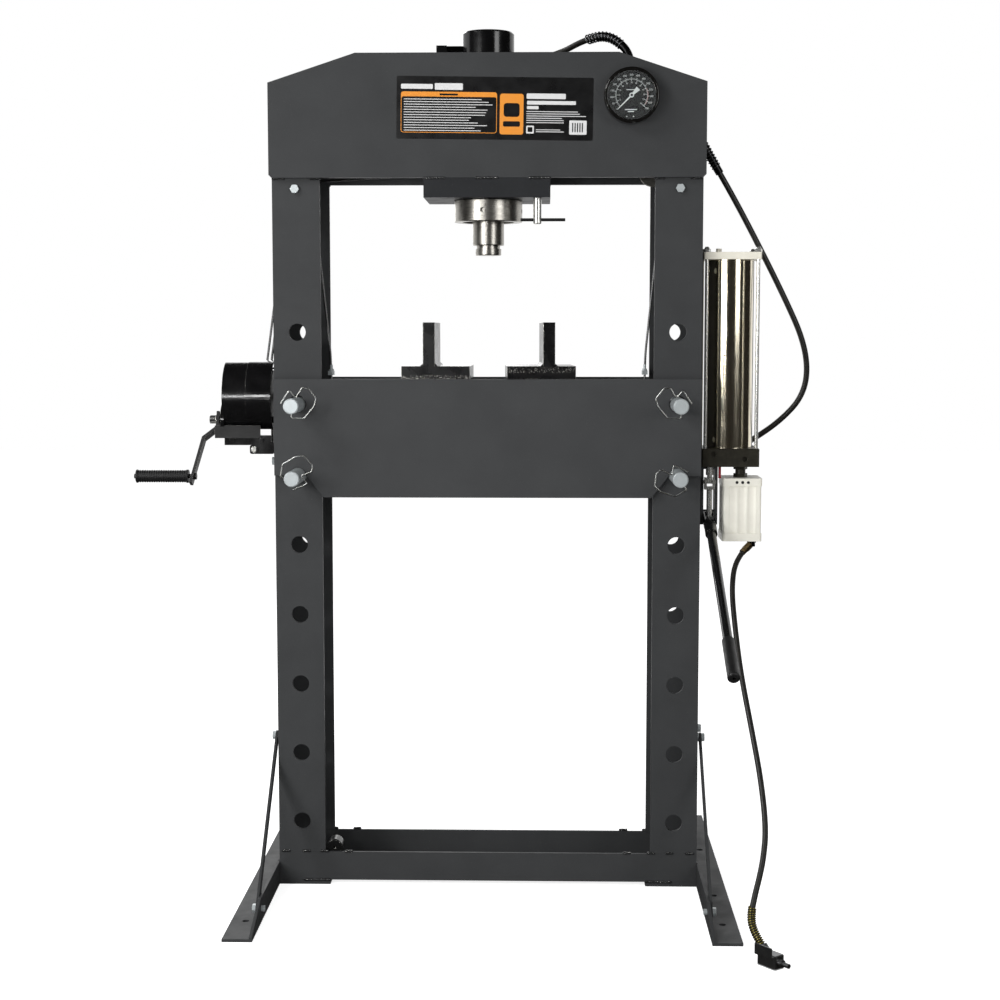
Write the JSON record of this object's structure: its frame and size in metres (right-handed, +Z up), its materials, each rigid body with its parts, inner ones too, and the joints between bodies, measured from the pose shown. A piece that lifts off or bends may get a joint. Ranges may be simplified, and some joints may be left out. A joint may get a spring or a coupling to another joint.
{
  "type": "hydraulic press",
  "caption": "Floor standing H-frame hydraulic shop press: head with cylinder and gauge, pinned bed with press blocks, hand winch, hand and air driven pump with hoses",
  "frame": {"origin": "on the floor, midway between the four anchor holes of the feet", "axes": "+Z up, -Y to the front where the operator stands, +X to the operator's right"},
  "size_m": [1.4486, 1.0775, 1.82],
  "materials": {
    "grey_paint": "satin charcoal grey powder coat",
    "black_paint": "black paint, worn through at edges",
    "steel": "turned steel",
    "zinc": "bright zinc plate",
    "chrome": "polished chrome",
    "alloy": "pale anodised extrusion",
    "brass": "brass coloured spring",
    "rubber": "black rubber",
    "glass": "clear",
    "white_paint": "white",
    "red_plastic": "red"
  },
  "bodies": {
    "frame": {"air_hose": "rubber", "air_hose_guard": "brass", "air_motor": "alloy", "air_valve": "steel", "base_plates": "grey_paint", "bed_front_beam": "grey_paint", "bed_rear_beam": "grey_paint", "bed_spacers": "grey_paint", "cylinder_body": "black_paint", "foot_braces": "grey_paint", "frame_bolts": "zinc", "front_crossmember": "grey_paint", "gauge_case": "chrome", "gauge_glass": "glass", "head_block": "grey_paint", "head_front_plate": "grey_paint", "head_rear_plate": "grey_paint", "hose_fittings": "black_paint", "left_foot": "grey_paint", "left_post": "grey_paint", "lift_ropes": "steel", "lock_ring": "steel", "main_hose": "rubber", "press_block_left": "black_paint", "press_block_right": "black_paint", "pump_block": "steel", "pump_bracket": "grey_paint", "pump_cap": "chrome", "pump_tie_rods": "zinc", "rear_crossmember": "grey_paint", "reservoir_tube": "chrome", "rest_stub": "steel", "return_spring": "steel", "right_foot": "grey_paint", "right_post": "grey_paint", "upper_hose": "rubber", "winch_cover": "black_paint", "winch_frame": "black_paint"},
    "ram": {"ram": "steel", "ram_nose": "steel"},
    "winch_drum": {"winch_drum": "steel"},
    "winch_crank": {"winch_crank": "black_paint"},
    "crank_grip": {"crank_grip": "rubber"},
    "left_pulley": {"left_pulley": "steel"},
    "right_pulley": {"right_pulley": "steel"},
    "clamp_screw": {"clamp_screw": "zinc"},
    "gauge_needle": {"gauge_needle": "white_paint"},
    "pump_lever": {"pump_lever": "black_paint", "lever_grip": "rubber"},
    "pump_plunger": {"pump_plunger": "zinc"},
    "valve_lever": {"valve_lever": "steel"},
    "release_knob": {"release_knob": "red_plastic"},
    "pin_upper_left": {"bed_pin_upper_left": "zinc", "pin_clip_upper_left": "zinc"},
    "pin_upper_right": {"bed_pin_upper_right": "zinc", "pin_clip_upper_right": "zinc"},
    "pin_lower_left": {"bed_pin_lower_left": "zinc", "pin_clip_lower_left": "zinc"},
    "pin_lower_right": {"bed_pin_lower_right": "zinc", "pin_clip_lower_right": "zinc"}
  },
  "joints": [
    {"name": "ram_slide", "type": "slide", "parent": "frame", "child": "ram", "axis": [0, 0, -1], "range_m": [0, 0.15], "stiffness_N_per_m": 400, "springref_m": -0.25, "deforming": ["return_spring"]},
    {"name": "pin_upper_left_pull", "type": "slide", "parent": "frame", "child": "pin_upper_left", "axis": [0, -1, 0], "range_m": [0, 0.24]},
    {"name": "pin_upper_right_pull", "type": "slide", "parent": "frame", "child": "pin_upper_right", "axis": [0, -1, 0], "range_m": [0, 0.24]},
    {"name": "pin_lower_left_pull", "type": "slide", "parent": "frame", "child": "pin_lower_left", "axis": [0, -1, 0], "range_m": [0, 0.24]},
    {"name": "pin_lower_right_pull", "type": "slide", "parent": "frame", "child": "pin_lower_right", "axis": [0, -1, 0], "range_m": [0, 0.24]},
    {"name": "drum_spin", "type": "hinge", "parent": "frame", "child": "winch_drum", "pos_m": [-0.51, 0, 1.05], "axis": [1, 0, 0], "continuous": true},
    {"name": "crank_spin", "type": "hinge", "parent": "frame", "child": "winch_crank", "pos_m": [-0.51, -0.03, 1.003], "axis": [1, 0, 0], "continuous": true},
    {"name": "crank_grip_spin", "type": "hinge", "parent": "winch_crank", "child": "crank_grip", "pos_m": [-0.69, -0.08494, 0.88518], "axis": [1, 0, 0], "continuous": true},
    {"name": "left_pulley_spin", "type": "hinge", "parent": "frame", "child": "left_pulley", "pos_m": [-0.402, 0.03, 1.488], "axis": [0, 1, 0], "continuous": true},
    {"name": "right_pulley_spin", "type": "hinge", "parent": "frame", "child": "right_pulley", "pos_m": [0.354, 0.062, 1.534], "axis": [0, 1, 0], "continuous": true},
    {"name": "clamp_screw_turn", "type": "hinge", "parent": "frame", "child": "clamp_screw", "pos_m": [0.105, -0.08, 1.45], "axis": [0, 0, 1], "range_deg": [0, 360]},
    {"name": "gauge_needle_turn", "type": "hinge", "parent": "frame", "child": "gauge_needle", "pos_m": [0.298, -0.125, 1.674], "axis": [0, 1, 0], "range_deg": [0, 270], "stiffness_Nm_per_rad": 0.001},
    {"name": "pump_lever_swing", "type": "hinge", "parent": "frame", "child": "pump_lever", "pos_m": [0.473, -0.0222, 0.8], "axis": [-1, 0, 0], "range_deg": [0, 36]},
    {"name": "pump_plunger_slide", "type": "slide", "parent": "frame", "child": "pump_plunger", "axis": [0, 0, 1], "range_m": [0, 0.0155]},
    {"name": "valve_lever_press", "type": "hinge", "parent": "frame", "child": "valve_lever", "pos_m": [0.5366, -0.5818, 0.024], "axis": [0.62, -0.7846, 0], "range_deg": [0, 12], "stiffness_Nm_per_rad": 0.05},
    {"name": "release_knob_turn", "type": "hinge", "parent": "frame", "child": "release_knob", "pos_m": [0.4955, -0.035, 0.9], "axis": [0, 0, 1], "range_deg": [0, 180]}
  ],
  "couplings": [
    {"joint": "crank_spin", "follows": "drum_spin", "ratio": -4.0917},
    {"joint": "left_pulley_spin", "follows": "drum_spin", "ratio": 1.098},
    {"joint": "right_pulley_spin", "follows": "drum_spin", "ratio": 1.098},
    {"joint": "pump_plunger_slide", "follows": "pump_lever_swing", "m_per_rad": 0.0236}
  ]
}
